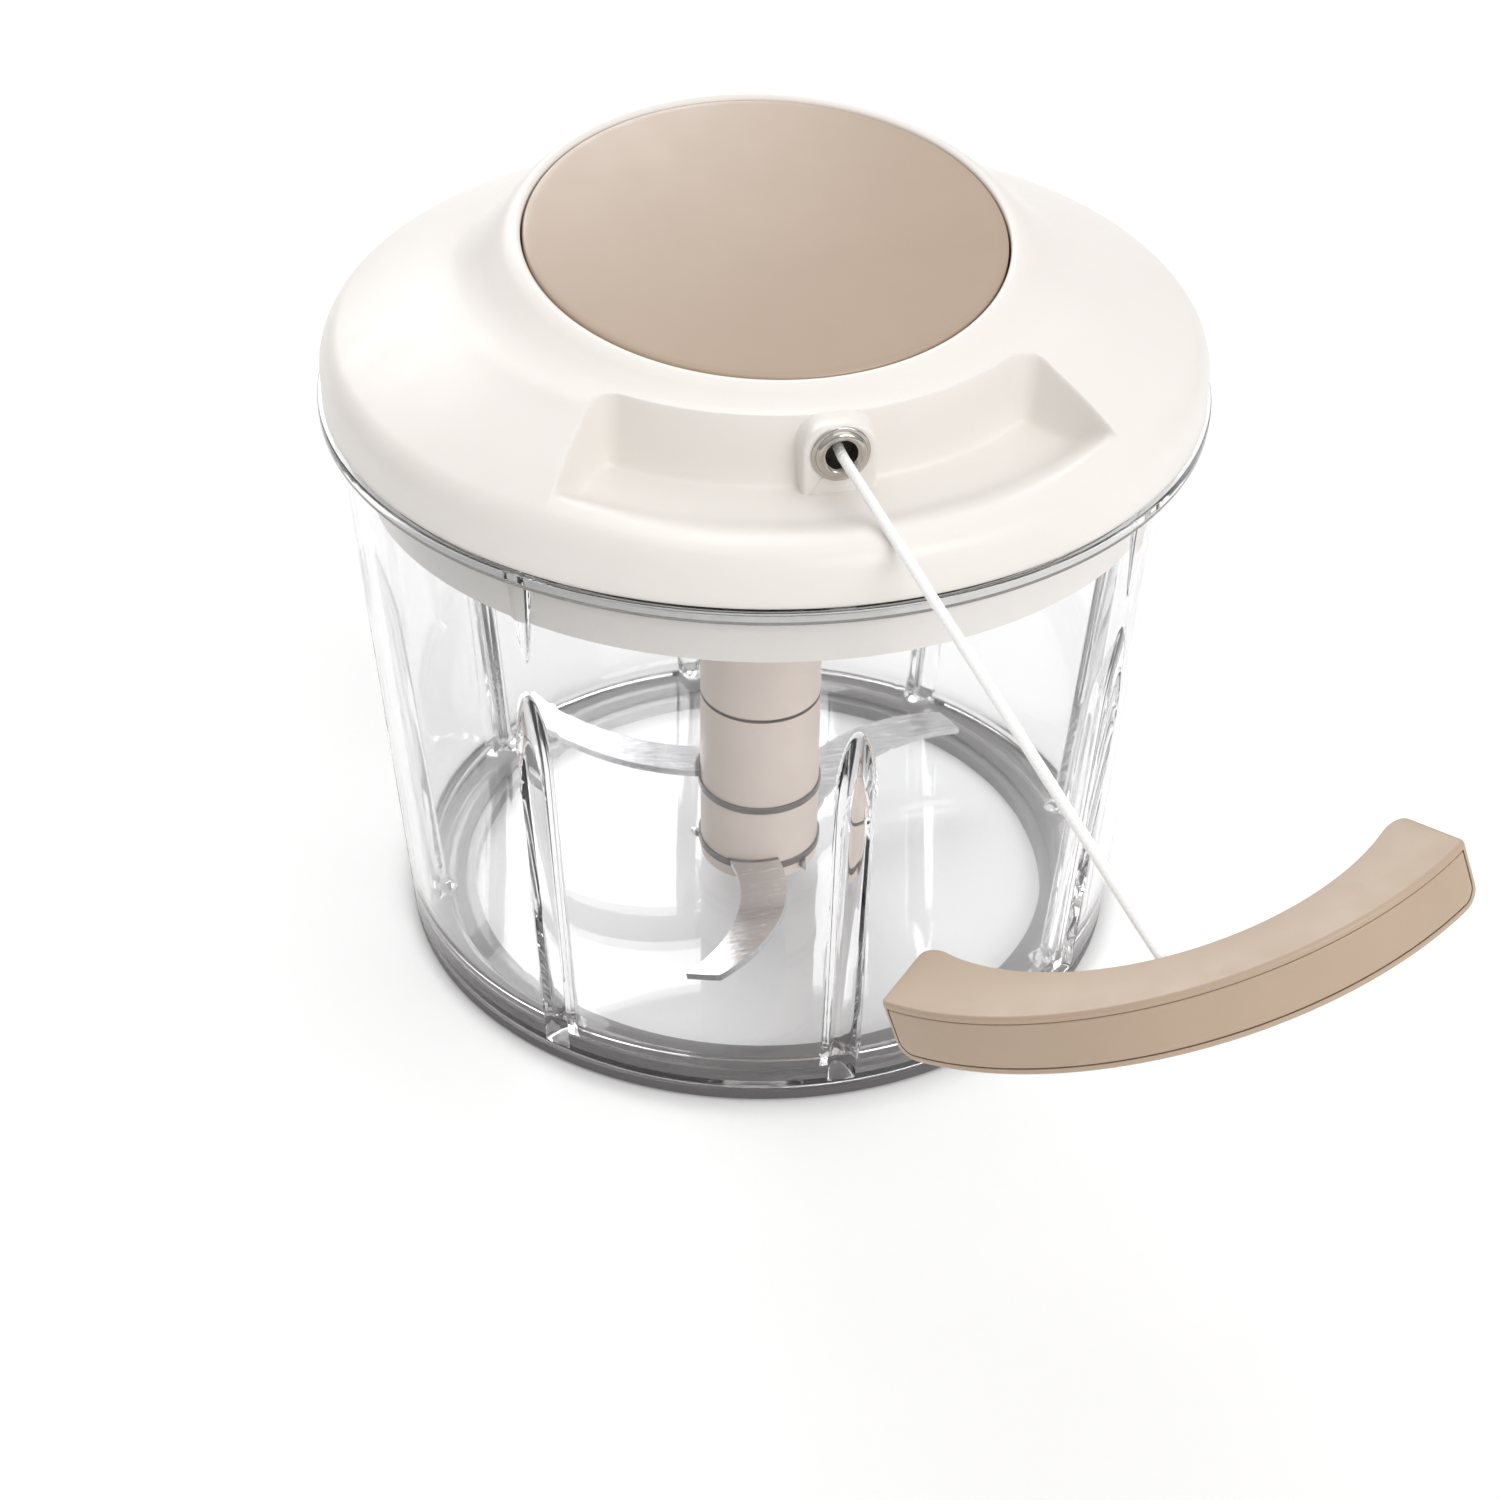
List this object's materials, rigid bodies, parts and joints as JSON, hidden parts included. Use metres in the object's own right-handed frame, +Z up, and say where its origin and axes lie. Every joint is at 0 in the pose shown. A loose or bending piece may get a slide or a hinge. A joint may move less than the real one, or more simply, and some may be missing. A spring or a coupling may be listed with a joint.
{
  "type": "food chopper",
  "caption": "Pull-cord food chopper: clear fluted bowl, lift-off lid with a tilted round cap and handle recess, curved handle on a cord, recoil reel, drive collar, spindle and curved blades.",
  "frame": {"origin": "centre of the bowl's base, on the surface it stands on", "axes": "+Z up along the bowl's axis; -Y is the front, where the cord leaves the lid; +X to the right seen from the front"},
  "size_m": [0.144, 0.2348, 0.1334],
  "materials": {
    "clear_bowl": "clear gloss",
    "grip_ring": "satin",
    "cream": "satin",
    "taupe_cap": "fine satin",
    "taupe_handle": "satin",
    "warm_grey": "satin",
    "black": "matt",
    "steel": "brushed",
    "nickel": "polished",
    "cord": "braided",
    "seal": "matt"
  },
  "bodies": {
    "bowl": {"bowl": "clear_bowl", "base_grip_ring": "grip_ring", "pivot_pin": "steel"},
    "lid": {"lid_housing": "cream", "top_cap": "taupe_cap", "lid_base": "cream", "lid_seal": "seal", "cord_eyelet": "nickel", "reel_bridge": "warm_grey", "reel_axle": "steel", "drive_bush": "black", "cord_lead": "cord", "lid_screw_1": "steel", "lid_screw_2": "steel", "lid_screw_3": "steel", "bridge_screw_1": "steel", "bridge_screw_2": "steel", "bridge_screw_3": "steel"},
    "reel": {"cord_reel": "warm_grey", "wound_cord": "cord", "recoil_spring": "steel", "pawl_1": "steel", "pawl_2": "steel"},
    "drive": {"drive_collar": "warm_grey", "drive_ratchet": "steel", "drive_ring": "steel"},
    "rotor": {"spindle_core": "warm_grey", "spindle_upper_hub": "warm_grey", "spindle_lower_hub": "warm_grey", "spindle_foot": "warm_grey", "upper_blade": "steel", "lower_blade": "steel"},
    "cord_run": {"pull_cord": "cord"},
    "cord_end": {"cord_bead": "cord"},
    "handle": {"handle_grip": "taupe_handle", "handle_cover": "taupe_handle", "bead_keeper": "taupe_handle"}
  },
  "joints": [
    {"name": "lid_lift", "type": "slide", "parent": "bowl", "child": "lid", "axis": [0, 0, 1], "range_m": [0, 0.085]},
    {"name": "cord_swing", "type": "hinge", "parent": "lid", "child": "cord_run", "pos_m": [0, -0.0515, 0.1162], "axis": [0.875, 0.0674, 0.4794], "range_deg": [-21.1, 0]},
    {"name": "cord_pull", "type": "slide", "parent": "cord_run", "child": "cord_end", "axis": [0.1736, -0.968, -0.1809], "range_m": [-0.0988, 0], "stiffness_N_per_m": 10, "springref_m": -0.12, "deforming": ["pull_cord"]},
    {"name": "handle_turn", "type": "hinge", "parent": "cord_end", "child": "handle", "pos_m": [0.01873, -0.1559, 0.09669], "axis": [0.6979, 0.4287, 0.5737], "range_deg": [0, 42.7]},
    {"name": "reel_spin", "type": "hinge", "parent": "lid", "child": "reel", "pos_m": [0, 0, 0.1162], "axis": [0, 0, 1], "range_deg": [0, 354.2]},
    {"name": "drive_spin", "type": "hinge", "parent": "lid", "child": "drive", "pos_m": [0, 0, 0.096], "axis": [0, 0, 1], "range_deg": [0, 354.2]},
    {"name": "rotor_spin", "type": "hinge", "parent": "bowl", "child": "rotor", "pos_m": [0, 0, 0.02], "axis": [0, 0, 1], "range_deg": [0, 354.2]}
  ],
  "couplings": [
    {"joint": "cord_swing", "follows": "cord_pull", "rad_per_m": 3.7118},
    {"joint": "handle_turn", "follows": "cord_pull", "rad_per_m": -7.519},
    {"joint": "reel_spin", "follows": "cord_pull", "rad_per_m": -62.5},
    {"joint": "drive_spin", "follows": "cord_pull", "rad_per_m": -62.5},
    {"joint": "rotor_spin", "follows": "cord_pull", "rad_per_m": -62.5}
  ]
}
